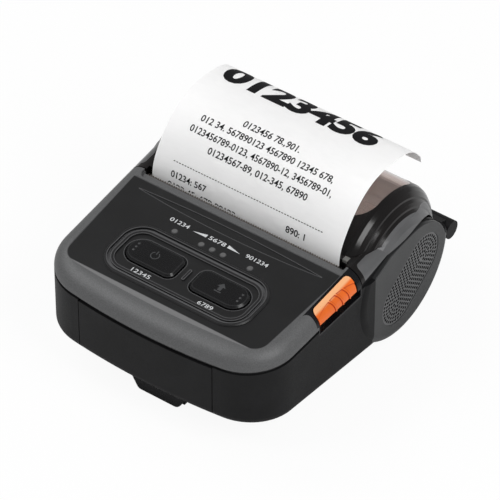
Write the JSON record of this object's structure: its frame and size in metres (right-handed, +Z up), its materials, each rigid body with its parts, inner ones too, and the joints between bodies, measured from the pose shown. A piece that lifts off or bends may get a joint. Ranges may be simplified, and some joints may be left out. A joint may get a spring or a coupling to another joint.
{
  "type": "mobile receipt printer",
  "caption": "Clamshell mobile thermal printer with a bowed case, control panel, side opening lever, hinged lid over a round roll bay and a printed receipt curling out of the slot.",
  "frame": {"origin": "on the table under the middle of the printer's bounding box", "axes": "+X to the printer's right side, +Y to the rear hinge, +Z up"},
  "size_m": [0.1008, 0.1279, 0.0703],
  "materials": {
    "charcoal_shell": "matt, fine spark texture",
    "metallic_band": "satin metallic paint on plastic",
    "panel_black": "matt",
    "button_black": "matt",
    "gloss_black": "gloss",
    "strip_grey": "satin",
    "cheek_grey": "matt",
    "smoked_window": "clear, smoked",
    "lever_orange": "semi-gloss",
    "clear_lens": "clear",
    "pale_tab": "satin",
    "steel": "plain",
    "spring_steel": "plain",
    "aluminium_sink": "extruded",
    "ceramic": "glazed",
    "platen_rubber": "ground",
    "gear_nylon": "moulded",
    "motor_can": "zinc plated",
    "board_green": "solder mask",
    "part_black": "moulded",
    "paper_white": "thermal paper",
    "core_card": "cardboard",
    "cable_white": "flat cable",
    "gasket_black": "matt",
    "foot_rubber": "matt",
    "clip_black": "satin",
    "battery_case": "matt"
  },
  "bodies": {
    "case": {"lower_case": "charcoal_shell", "top_cover": "metallic_band", "seam_gasket": "gasket_black", "control_panel": "panel_black", "led_lenses": "clear_lens", "tear_bar": "steel", "lever_guide": "clip_black", "side_cheek_right": "cheek_grey", "side_cheek_left": "cheek_grey", "side_grille_right": "part_black", "side_grille_left": "part_black", "hinge_rod": "steel", "paper_web": "paper_white", "idler_pin": "steel", "stepper_motor": "motor_can", "print_head": "ceramic", "heat_sink": "aluminium_sink", "head_springs": "spring_steel", "mechanism_frame": "steel", "lever_spring": "spring_steel", "circuit_board": "board_green", "tact_switches": "part_black", "board_parts": "part_black", "power_socket": "part_black", "data_socket": "steel", "battery_contacts": "part_black", "ribbon_cable": "cable_white", "paper_sensor": "part_black", "clip_pin": "steel", "clip_spring": "spring_steel", "rear_feet": "foot_rubber", "case_screws": "steel"},
    "lid": {"lid_shell": "strip_grey", "lid_frame": "gloss_black", "lid_window": "smoked_window", "lid_tab": "pale_tab", "platen_bushes": "gear_nylon", "receipt": "paper_white"},
    "platen": {"platen_shaft": "steel", "platen_roller": "platen_rubber", "platen_gear": "gear_nylon"},
    "idler": {"idler_gear": "gear_nylon"},
    "pinion": {"motor_pinion": "steel"},
    "roll": {"paper_roll": "paper_white", "roll_core": "core_card"},
    "lever": {"open_lever": "lever_orange"},
    "latch": {"latch_shaft": "steel", "latch_hooks": "steel"},
    "power_key": {"power_button": "button_black"},
    "feed_key": {"feed_button": "button_black"},
    "clip": {"belt_clip": "clip_black"},
    "battery": {"battery_pack": "battery_case"}
  },
  "joints": [
    {"name": "lid_hinge", "type": "hinge", "parent": "case", "child": "lid", "pos_m": [0, 0.0603, 0.0165], "axis": [-1, 0, 0], "range_deg": [0, 95]},
    {"name": "platen_spin", "type": "hinge", "parent": "lid", "child": "platen", "pos_m": [0, 0.0006, 0.0375], "axis": [1, 0, 0], "continuous": true},
    {"name": "idler_spin", "type": "hinge", "parent": "case", "child": "idler", "pos_m": [-0.0452, -0.00664, 0.02856], "axis": [1, 0, 0], "continuous": true},
    {"name": "pinion_spin", "type": "hinge", "parent": "case", "child": "pinion", "pos_m": [-0.0452, -0.016, 0.027], "axis": [1, 0, 0], "continuous": true},
    {"name": "roll_spin", "type": "hinge", "parent": "case", "child": "roll", "pos_m": [0, 0.0225, 0.0224], "axis": [1, 0, 0], "continuous": true},
    {"name": "lever_press", "type": "slide", "parent": "case", "child": "lever", "axis": [0, 0, -1], "range_m": [0, 0.002], "stiffness_N_per_m": 1500, "springref_m": -0.001, "deforming": ["lever_spring"]},
    {"name": "latch_turn", "type": "hinge", "parent": "case", "child": "latch", "pos_m": [0, -0.0085, 0.017], "axis": [1, 0, 0], "range_deg": [0, 8.3]},
    {"name": "power_press", "type": "slide", "parent": "case", "child": "power_key", "axis": [0, 0, -1], "range_m": [0, 0.0008], "stiffness_N_per_m": 1500, "springref_m": -0.0005},
    {"name": "feed_press", "type": "slide", "parent": "case", "child": "feed_key", "axis": [0, 0, -1], "range_m": [0, 0.0008], "stiffness_N_per_m": 1500, "springref_m": -0.0005},
    {"name": "clip_open", "type": "hinge", "parent": "case", "child": "clip", "pos_m": [0, 0.0025, 0.0034], "axis": [1, 0, 0], "range_deg": [0, 20], "stiffness_Nm_per_rad": 0.8, "springref_deg": -11.46, "deforming": ["clip_spring"]},
    {"name": "battery_slide", "type": "slide", "parent": "case", "child": "battery", "axis": [0, -0.9936, 0.1133], "range_m": [0, 0.045]}
  ],
  "couplings": [
    {"joint": "idler_spin", "follows": "platen_spin", "ratio": -0.76923},
    {"joint": "pinion_spin", "follows": "platen_spin", "ratio": 1.6667},
    {"joint": "latch_turn", "follows": "lever_press", "rad_per_m": 71.43}
  ]
}
